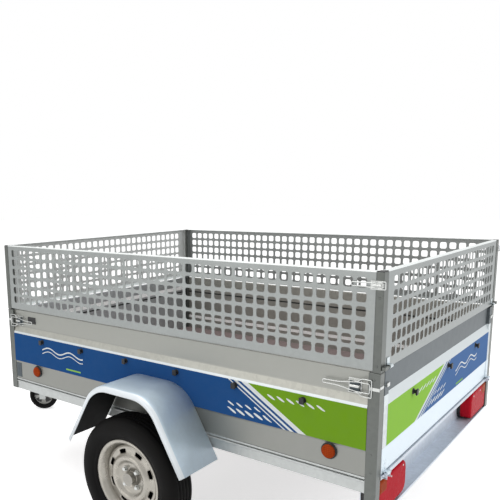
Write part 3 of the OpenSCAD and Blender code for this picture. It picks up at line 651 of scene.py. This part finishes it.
# Painted shade: near-black for the shade under each mudguard and behind the wheel's vents.
shade_black = moulded("painted_shade_black", colour(9, 9, 10), rough=0.8, shine=0.1)
slant = math.atan2(guard_top - guard_foot, guard_half_foot - guard_half_top)
bend_x, bend_z = guard_half_top - bend * math.tan(slant / 2), guard_top - bend
out = Vector((math.sin(slant), 0, math.cos(slant)))
down_leg = Vector((math.cos(slant), 0, -math.sin(slant)))
guard_end = Vector((guard_mid + guard_half_foot, 0, guard_foot))
tangent = Vector((guard_mid + bend_x, 0, bend_z)) + out * bend
leg = (guard_end - tangent).length
for name, side in both:
    bm = bmesh.new()
    verts = [bm.verts.new(guard_end - out * d + Vector((0, side * y, 0))) for y, d in guard_section]
    edges = [bm.edges.new(pair) for pair in zip(verts, verts[1:])]
    edges = carry(bm, edges, -down_leg * leg)
    edges = carry_round(bm, edges, (guard_mid + bend_x, 0, bend_z), -slant)
    edges = carry(bm, edges, Vector((-2 * bend_x, 0, 0)))
    edges = carry_round(bm, edges, (guard_mid - bend_x, 0, bend_z), -slant)
    carry(bm, edges, Vector((-down_leg.x, 0, down_leg.z)) * leg)
    bmesh.ops.remove_doubles(bm, verts=bm.verts[:], dist=0.00002)
    bmesh.ops.recalc_face_normals(bm, faces=bm.faces[:])
    crown = max(bm.faces, key=lambda face: face.calc_center_median().z)
    if crown.normal.z < 0:
        bmesh.ops.reverse_faces(bm, faces=bm.faces[:])
    smooth(bm)
    piece("mudguard_sheet_" + name, bm, "chassis", "galvanised_steel", guard_zinc, "mudguard_" + name,
          sheet=0.0025, under=shade_black)

# Wheels: a silver-lacquered steel rim with eight vents, four bolts and a dust cap, and a tyre with four
# long grooves. The disc is pressed from plate and welded into the barrel. A near-black disc behind the vents is
# painted shade for the dark inside of the wheel, and the wheel's inner half is painted dark as well.
tyre_low, tyre_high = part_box("tyre_left")
hub_x = (tyre_low.x + tyre_high.x) / 2
wheel_y = (tyre_low.y + tyre_high.y) / 2
tyre_half = (tyre_high.y - tyre_low.y) / 2
wheel_r = tyre_high.z / 2
seat_r = 0.165
vents, vent_in, vent_out, vent_half = 8, 0.1205, 0.1345, 0.16
bolts, bolt_circle = 4, 0.049
tread_half = [(seat_r + 0.0004, 0.030), (seat_r + 0.0004, 0.044), (seat_r + 0.0175, 0.0500), (seat_r + 0.021, 0.0575),
              (seat_r + 0.030, 0.0625), (seat_r + 0.036, 0.0632), (seat_r + 0.038, 0.0655),
              (wheel_r - 0.062, tyre_half - 0.001), (wheel_r - 0.046, tyre_half), (wheel_r - 0.034, tyre_half - 0.001),
              (wheel_r - 0.024, tyre_half - 0.0035), (wheel_r - 0.014, tyre_half - 0.0085),
              (wheel_r - 0.006, tyre_half - 0.017), (wheel_r - 0.002, tyre_half - 0.026),
              (wheel_r - 0.0003, tyre_half - 0.030)]
for groove in (0.030, 0.010):
    tread_half += [(wheel_r, groove + 0.0042), (wheel_r - 0.0065, groove + 0.003),
                   (wheel_r - 0.0065, groove - 0.003), (wheel_r, groove - 0.0042)]
tyre_outline = tread_half + [(r, -w) for r, w in reversed(tread_half)]
barrel_outline = [(0.161, -0.052), (0.180, -0.0565), (0.182, -0.055), (0.180, -0.052), (0.166, -0.047), (0.165, -0.028),
                  (0.148, -0.017), (0.147, 0.010), (0.164, 0.027), (0.1655, 0.046), (0.179, 0.0505), (0.1825, 0.0535),
                  (0.181, 0.0565), (0.172, 0.0555), (0.163, 0.050), (0.161, 0.028), (0.144, 0.0115), (0.143, -0.018),
                  (0.161, -0.030)]
disc_outline = [(0.030, 0.0225), (0.060, 0.0225), (0.068, 0.0235), (0.074, 0.0270), (0.079, 0.0360), (0.085, 0.0415),
                (0.092, 0.0435), (0.099, 0.0425), (0.105, 0.0375), (0.110, 0.0310), (0.1145, 0.0285), (0.1205, 0.0275),
                (0.1325, 0.0262), (0.1395, 0.0250), (0.1475, 0.0220), (0.1500, 0.0130)]
vent_shade_outline = [(0.049, -0.006), (0.1425, -0.006), (0.1425, -0.009), (0.049, -0.009)]
cap_outline = [(0.0, 0.049), (0.010, 0.0488), (0.019, 0.0475), (0.0235, 0.0440), (0.0255, 0.038), (0.0262, 0.0240),
               (0.0300, 0.0235), (0.0300, 0.018), (0.0, 0.018)]


def spun(bm, outline, centre, side, steps, closed=True):
    """A turned shape about an axis along Y: outline has (radius, outwards) points."""
    verts = [bm.verts.new(Vector(centre) + Vector((r, side * w, 0))) for r, w in outline]
    pairs = list(zip(verts, verts[1:] + verts[:1])) if closed else list(zip(verts, verts[1:]))
    edges = [bm.edges.new(pair) for pair in pairs]
    bmesh.ops.spin(bm, geom=verts + edges, cent=centre, axis=(0, 1, 0), dvec=(0, 0, 0), angle=math.tau,
                   steps=steps, use_merge=True, use_duplicate=False)


def turned(name, body, slot, look, outline, centre, side, steps, *stands_for):
    """A whole piece of one turned shape, smooth all round."""
    bm = bmesh.new()
    spun(bm, outline, centre, side, steps)
    smooth(bm)
    piece(name, bm, body, slot, look, *stands_for)


def pressed_disc(bm, centre, side):
    """The wheel's disc with its vents cut out, as one surface that faces outwards."""
    spun(bm, disc_outline, centre, side, 80, closed=False)
    for i in range(vents):
        near = []
        for face in bm.faces:
            out = face.calc_center_median() - centre
            turn = math.atan2(out.z, out.x) - math.tau * (i + 0.5) / vents
            if vent_in < out.length < vent_out and abs((turn + math.pi) % math.tau - math.pi) < vent_half:
                near.append(face)
        vent = bmesh.ops.dissolve_faces(bm, faces=near, use_verts=True)["region"]
        bmesh.ops.delete(bm, geom=vent, context="FACES")
    bmesh.ops.recalc_face_normals(bm, faces=bm.faces[:])
    smooth(bm)
    if sum(face.normal.y * side for face in bm.faces) < 0:
        bmesh.ops.reverse_faces(bm, faces=bm.faces[:])


def rubber(name):
    f = Finish(name, {"Specular IOR Level": 0.1})
    dust = f.noise(18.0, 5.0)
    f.give("Base Color", f.mix(dust, colour(9, 9, 10), colour(24, 23, 22)))
    f.give("Roughness", 0.68 + (dust - 0.5) * 0.3)
    f.bump(f.noise(260.0, 3.0), 0.0004, 0.5)
    return f.material


def lacquer(name, tint):
    """Silver lacquer with grime on it. The wheel's inner half is painted nearly black, partly as brake dust and partly
    as painted shade behind the vents.
    """
    f = Finish(name, {"Metallic": 0.7, "Coat Roughness": 0.2})
    grime = f.noise(26.0, 5.0)
    shown = f.mix(grime * 0.8, tint, shaded(tint, 0.62))
    # Painted shade with brake dust: nearly black on the wheel's inner half, so the vents look dark.
    f.give("Base Color", f.mix(abs(f.axis(1)) < wheel_y + 0.012, shown, colour(34, 34, 34)))
    f.give("Roughness", 0.30 + (grime - 0.5) * 0.25)
    f.give("Coat Weight", 0.3 - grime * 0.2)
    f.bump(f.noise(500.0, 2.0), 0.0001, 0.5)
    return f.material


def dress(node, look):
    """Gives a CAD node its finish."""
    for node_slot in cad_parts[node].material_slots:
        node_slot.material = look


tyre_look = rubber("tyre_rubber")
rim_look = lacquer("silver_lacquer", colour(178, 174, 165))
hub_look = lacquer("hub_lacquer", colour(160, 157, 150))
steel_look = plain_zinc("zinc_plated", colour(196, 198, 196), spread=0.08, metal=0.9, rough=0.28)
for name, side in both:
    centre = Vector((hub_x, side * wheel_y, wheel_r))
    body = "wheel_" + name
    turned("tyre_" + name + "_tread", body, "tyre_rubber", tyre_look, tyre_outline, centre, side, 72, "tyre_" + name)
    turned("rim_" + name + "_barrel", body, "wheel_silver", rim_look, barrel_outline, centre, side, 72, "rim_" + name)
    bm = bmesh.new()
    pressed_disc(bm, centre, side)
    piece("rim_" + name + "_disc", bm, body, "wheel_silver", rim_look, sheet=0.0035)
    # Painted shade: a near-black disc behind the vents stands for the dark inside of the wheel.
    bm = bmesh.new()
    spun(bm, vent_shade_outline, centre, side, 48)
    piece("vent_shade_disc_" + name, bm, body, "cast_steel", shade_black)

    bm = bmesh.new()
    way = Vector((0, side, 0))
    for i in range(bolts):
        angle = math.tau * (i + 0.5) / bolts
        spot = centre + Vector((bolt_circle * math.cos(angle), side * 0.023, bolt_circle * math.sin(angle)))
        rod(bm, spot - way * 0.002, spot + way * 0.005, 0.0125, 24, 0.0105)
        rod(bm, spot, spot + way * 0.014, 0.0095, 6)
        rod(bm, spot + way * 0.014, spot + way * 0.0155, 0.0085, 6, 0.0065)
    piece("wheel_bolts_" + name, bm, body, "zinc_plated", steel_look)
    turned("dust_cap_" + name, body, "wheel_silver", rim_look, cap_outline, centre, side, 40)
    dress("hub_" + name, hub_look)

# Rope hooks: moulded black plastic. Each has a round foot against the wall and a short stem that carries
# an upright block. There are six on each side and three at each end.
hook_out, hook_z, hook_half = 0.019, 0.745, 0.0105
side_step, end_step = 0.3064, 0.447


def rope_hook(bm, spot, way):
    spot, way = Vector(spot), Vector(way)
    rod(bm, spot, spot + way * 0.004, 0.0125, 20, 0.0110)
    rod(bm, spot + way * 0.003, spot + way * 0.013, 0.0075, 16)
    across = Vector((0, 0, 1)).cross(way) * hook_half
    block(bm, spot + way * 0.012 - across - Vector((0, 0, 0.013)),
          spot + way * hook_out + across + Vector((0, 0, 0.012)), 0.003, 3)


bm = bmesh.new()
for side in (1, -1):
    for i in range(6):
        rope_hook(bm, (body_mid + (i - 2.5) * side_step, side * half, hook_z), (0, side, 0))
piece("tie_hooks_moulded", bm, "chassis", "black_plastic", black_plastic, "tie_hooks")
for body, node, end, way in (("tailgate", "tailgate_hooks", "rear", -1), ("front_board", "front_hooks", "front", 1)):
    bm = bmesh.new()
    for i in (-1, 0, 1):
        rope_hook(bm, (end_x(0.0, end), i * end_step, hook_z), (way, 0, 0))
    piece(node + "_moulded", bm, body, "black_plastic", black_plastic, node)

# Side marker lamps: amber domes with moulded rings, two to a side. Each sits on a black round foot on the
# lower strip, before and behind the mudguard.
marker_z, marker_x = 0.574, 0.847
foot_outline = [(0.0, 0.0), (0.031, 0.0), (0.031, 0.005), (0.029, 0.007), (0.0, 0.007)]
dome_outline = [(0.0, 0.004), (0.0262, 0.004), (0.0262, 0.011), (0.0245, 0.0145), (0.021, 0.0165), (0.019, 0.0155),
                (0.016, 0.0175), (0.012, 0.0165), (0.009, 0.0180), (0.0, 0.0180)]


def lens(name, tint, deep):
    """Coloured plastic with fine crossed ribs."""
    f = Finish(name, {"IOR": 1.45, "Specular IOR Level": 0.01})
    ribs = 900.0
    x, y, z = f.axis(0), f.axis(1), f.axis(2)
    rib = ((z * ribs).do("SINE") + ((x + y) * ribs).do("SINE")) * 0.25 + 0.5
    cloud = f.noise(40.0, 2.0)
    f.give("Base Color", f.mix(rib * 0.45 + cloud * 0.3, tint, deep))
    f.give("Roughness", 0.22 + cloud * 0.1)
    f.bump(rib, 0.0004, 0.4)
    return f.material


amber = lens("amber_lens", colour(186, 76, 32), colour(112, 38, 18))
bm_foot, bm_dome = bmesh.new(), bmesh.new()
for side in (1, -1):
    for x in (guard_mid - marker_x, guard_mid + marker_x):
        centre = Vector((x, side * (half - 0.003), marker_z))
        spun(bm_foot, foot_outline, centre, side, 36)
        spun(bm_dome, dome_outline, centre, side, 36)
smooth(bm_dome)
piece("marker_lamp_feet", bm_foot, "chassis", "black_plastic", black_plastic)
piece("marker_lamp_domes", bm_dome, "chassis", "amber_lens", amber, "marker_lamps")

# Tail lamps: a black tray on the lamp board with a red lens over it, rounded at its inner corners. The
# upper outer part is amber, and each lens is held by two screws.
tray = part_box("tail_lamp_housings")
lamp_foot, lamp_head, lamp_out = tray[0].z, tray[1].z, tray[1].y
lamp_in = lamp_out - 0.285
lamp_round = 0.045
board_x = rear + board_face
lens_face, tray_face = board_x - 0.068, board_x - 0.016
amber_out, amber_in = lamp_out - 0.0035, lamp_out - 0.080
amber_foot, amber_head = lamp_foot + 0.085, lamp_head - 0.0035
screw_z = lamp_head - 0.022
red = lens("red_lens", colour(214, 34, 50), colour(140, 16, 30))


def lamp_shape(inset):
    """Outline of a whole lamp, drawn in by inset, with its inner corners rounded."""
    turns = [math.pi / 2 * k / 6 for k in range(7)]
    middle = lamp_in + lamp_round
    r = lamp_round - inset
    return ([(middle - r * math.cos(a), lamp_foot + lamp_round - r * math.sin(a)) for a in turns]
            + [(lamp_out - inset, lamp_foot + inset), (lamp_out - inset, lamp_head - inset)]
            + [(middle - r * math.sin(a), lamp_head - lamp_round + r * math.cos(a)) for a in turns])


def soft_slab(bm, shape, side, x0, x1, soft):
    """A slab with the outline given, softened along the edge of its rear face."""
    face = bm.faces.new([bm.verts.new((x1, side * y, z)) for y, z in shape])
    verts = verts_of(bmesh.ops.extrude_face_region(bm, geom=[face])["geom"])
    bmesh.ops.translate(bm, verts=verts, vec=(x0 - x1, 0, 0))
    soften(bm, list({e for v in verts for e in v.link_edges}), soft, 3)


bm_tray, bm_red, bm_amber, bm_screw = bmesh.new(), bmesh.new(), bmesh.new(), bmesh.new()
for side in (1, -1):
    soft_slab(bm_tray, lamp_shape(0.0), side, tray_face, board_x, 0.002)
    soft_slab(bm_red, lamp_shape(0.004), side, lens_face + 0.0015, tray_face, 0.012)
    soft_slab(bm_amber, [(amber_in, amber_foot), (amber_out, amber_foot), (amber_out, amber_head),
                         (amber_in, amber_head)], side, lens_face + 0.0005, tray_face + 0.001, 0.010)
    for y in (lamp_in + 0.045, lamp_out - 0.118):
        rod(bm_screw, (lens_face + 0.002, side * y, screw_z), (lens_face, side * y, screw_z), 0.004, 14, 0.003)
piece("tail_lamp_trays", bm_tray, "chassis", "black_plastic", black_plastic, "tail_lamp_housings")
piece("tail_lamp_red", bm_red, "chassis", "red_lens", red, "tail_lamp_lenses")
piece("tail_lamp_amber", bm_amber, "chassis", "amber_lens", amber)
piece("tail_lamp_screws", bm_screw, "chassis", "zinc_plated", steel_look)

# Over-centre toggles: zinc-plated. A bent foot holds a barrel, a looped wire lever and a wire bail that
# pulls on a hook bent round the corner. The smaller ones on the extension posts hold the rear panel. A
# black slab beside each front toggle is painted shade for a square recess in the top band.
toggle_z = 0.837
wire_r = 0.0022


def wire(bm, points):
    """A bent round wire through the points, added to a mesh."""
    data = bpy.data.curves.new("wire", "CURVE")
    data.dimensions = "3D"
    data.bevel_depth = wire_r
    data.bevel_resolution = 2
    data.use_fill_caps = True
    spline = data.splines.new("NURBS")
    spline.points.add(len(points) - 1)
    for knot, p in zip(spline.points, points):
        knot.co = (*p, 1.0)
    spline.order_u = 3
    spline.use_endpoint_u = True
    spline.resolution_u = 3
    holder = bpy.data.objects.new("wire", data)
    bpy.context.scene.collection.objects.link(holder)
    bpy.context.view_layer.update()
    made = bpy.data.meshes.new_from_object(holder.evaluated_get(bpy.context.evaluated_depsgraph_get()))
    bm.from_mesh(made)
    bpy.data.objects.remove(holder)
    bpy.data.meshes.remove(made)
    bpy.data.curves.remove(data)


def toggle(bm, bm_core, end, side, z, base, long, high, lever, bail, bail_high, wall):
    """A toggle whose foot starts at base and whose bail ends at bail, both measured inwards from the end of the
    body. The foot stands on the face at wall, and the lever reaches on past it."""
    top = half + 0.006

    def spot(x, y, up):
        return Vector((end_x(x, end), side * y, up))

    def brick(x0, x1, y0, y1, z0, z1, soft, mesh=bm):
        block(mesh, spot(x0, y0, z0), spot(x1, y1, z1), soft)

    def loop(path):
        """A wire along (x, y, up) points, and back along their mirror image below or above z."""
        wire(bm, [spot(x, y, z + up) for x, y, up in path] + [spot(x, y, z - up) for x, y, up in reversed(path)])
    brick(base, base + long, wall, wall + 0.0025, z - high / 2, z + high / 2, 0.0008)
    brick(base + 0.006, base + long - 0.006, wall + 0.002, top - 0.007, z - high * 0.38, z + high * 0.38, 0.0015,
          bm_core)
    for cheek in (z - high * 0.40, z + high * 0.40):
        brick(base + 0.004, base + long - 0.004, wall + 0.002, top - 0.001, cheek - 0.001, cheek + 0.001, 0.0005)
    rod(bm, spot(base + 0.005, top - 0.006, z), spot(base + long * 0.8, top - 0.006, z), 0.0058)
    grip, far, grip_y = -0.0065, base + long + lever, top - 0.0025
    loop([(base + long * 0.4, top - 0.003, -high * 0.30), (base + long * 0.8, top - 0.003, -high * 0.28),
          (base + long + lever * 0.3, grip_y, grip), (far - 0.012, grip_y, grip), (far, grip_y, grip)])
    y = half + 0.0028
    for inner in (1.0, 0.55):
        near, w = bail + (1 - inner) * 0.016, (bail_high / 2 - 0.0025) * inner
        loop([(base + long * 0.5, y, high * 0.3), (base + 0.008, y, high * 0.34), (base, y, w), (near + 0.008, y, w),
              (near, y, w), (near, y, w - 0.008)])
    brick(0.0, bail + 0.008, half + 0.0003, half + 0.0018, z - 0.005, z + 0.007, 0.0004)


bm, bm_core, bm_recess_shade = bmesh.new(), bmesh.new(), bmesh.new()
for side in (1, -1):
    for end in ("rear", "front"):
        toggle(bm, bm_core, end, side, toggle_z, base=0.068, long=0.048, high=0.054, lever=0.094, bail=0.028,
               bail_high=0.068, wall=half - band_deep)
        block(bm, (end_x(0.0005, end), side * (half - 0.002), toggle_z + 0.001),
              (end_x(-0.0016, end), side * (half - 0.034), toggle_z + 0.011), 0.0005)
    # Painted shade: a black slab for the dark of a square recess in the top band.
    block(bm_recess_shade, (front - 0.223, side * (half - 0.013), 0.830), (front - 0.158, side * (half - 0.0105), 0.866), 0.0008)
piece("door_toggles_wire", bm, "chassis", "zinc_plated", steel_look, "door_toggles")
piece("band_recess_shade", bm_recess_shade, "chassis", "black_plastic", black_plastic)
for name, end in (("tailgate", "rear"), ("front_board", "front")):
    bm = bmesh.new()
    for side in (1, -1):
        block(bm, (end_x(0.001, end), side * (door_half - 0.032), toggle_z - 0.001),
              (end_x(-0.006, end), side * (door_half - 0.010), toggle_z + 0.014), 0.0015)
    piece(name + "_keepers", bm, name, "zinc_plated", steel_look)
bm = bmesh.new()
for side in (1, -1):
    toggle(bm, bm_core, "rear", side, panel_head - 0.047, base=0.004, long=0.042, high=0.031, lever=0.067,
           bail=-0.006, bail_high=0.031, wall=half)
dark_zinc = plain_zinc("zinc_dull", colour(78, 88, 94), metal=0.2, rough=0.6)
piece("mesh_toggles_wire", bm, "chassis", "zinc_plated", steel_look, "mesh_toggles")
piece("toggle_bodies", bm_core, "chassis", "zinc_plated", dark_zinc)

# Front strip plates: small dull plates of zinc-coated sheet. One is riveted on the lower strip of each
# side, beside the front post.
plate_x, plate_z = front - 0.066, 0.556
bm = bmesh.new()
for side in (1, -1):
    block(bm, (front - 0.088, side * (half - 0.0035), 0.518), (front - 0.046, side * (half - 0.0015), 0.598), 0.0006)
    rod(bm, (plate_x, side * (half - 0.002), plate_z), (plate_x, side * (half - 0.0005), plate_z), 0.007, 16, 0.006)
piece("front_strip_plates", bm, "chassis", "galvanised_steel", dark_zinc)

# Floor, running gear and drawbar: the CAD solids, with finishes. The floor is film-faced birch plywood on
# galvanised bearers, the axle tube carries cast trailing arms, and the drawbar is painted black. The
# coupling and the jockey wheel are zinc-plated, with a grey plastic rim on the wheel.


def plywood(name):
    f = Finish(name, {})
    grain = f.noise(9.0, 6.0, f.stretched(1.0, 9.0, 9.0))
    fine = f.noise(60.0, 3.0, f.stretched(1.0, 12.0, 12.0))
    f.give("Base Color", f.mix(grain * 0.7 + fine * 0.3, colour(104, 88, 90), colour(138, 122, 120)))
    f.give("Roughness", 0.42 + fine * 0.2)
    f.bump(fine, 0.0004, 0.4)
    return f.material


def painted(name, tint):
    """Paint with a fine orange peel and dust on it."""
    f = Finish(name, {"Coat Weight": 0.3, "Coat Roughness": 0.15})
    dust = f.noise(9.0, 5.0)
    f.give("Base Color", f.mix(dust * 0.7, tint, shaded(tint, 1.6, 0.01)))
    f.give("Roughness", 0.34 + dust * 0.14)
    f.bump(f.noise(220.0, 2.0), 0.0002, 0.5)
    return f.material


def spoked(name):
    """Grey plastic rim with painted shade in the hollows between its five spokes."""
    f = Finish(name, {"Specular IOR Level": 0.3})
    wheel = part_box("jockey_tyre")
    across, up = f.axis(0) - (wheel[0].x + wheel[1].x) / 2, f.axis(2) - (wheel[0].z + wheel[1].z) / 2
    away = (across * across + up * up).do("SQRT")
    # Painted shade: the hollows between the spokes are painted dark.
    hollow_shade = ((up.do("ARCTAN2", across) * 5.0).do("SINE") > -0.25) * within(away, 0.024, 0.056)
    dust = f.noise(40.0, 4.0)
    grey = f.mix(dust * 0.5, colour(186, 186, 181), colour(150, 150, 146))
    f.give("Base Color", f.mix(hollow_shade, grey, colour(70, 70, 70)))
    f.give("Roughness", 0.5 + (dust - 0.5) * 0.2)
    f.bump(dust, 0.0002, 0.5)
    return f.material


cast_look = moulded("cast_hub", colour(88, 90, 92), rough=0.5, grain=300.0)
black_paint = painted("black_paint", colour(22, 22, 24))
axle_look = plain_zinc("axle_zinc", colour(140, 143, 143), rough=0.5)
coupling_zinc = plain_zinc("coupling_zinc", colour(154, 159, 162), rough=0.4)
for look, *nodes in (
        (plywood("film_faced_ply"), "floor_panel"), (axle_look, "axle_beam"), (cast_look, "axle_arms"),
        (frame_zinc, "floor_bearers", "mudguard_stays", "jockey_clamp", "jockey_fork"),
        (black_paint, "drawbar_legs", "drawbar_nose"), (black_plastic, "coupling_handle"),
        (coupling_zinc, "coupling_head", "jockey_tube", "jockey_crank", "jockey_stem"),
        (spoked("jockey_rim_grey"), "jockey_rim"), (tyre_look, "jockey_tyre")):
    for node in nodes:
        dress(node, look)
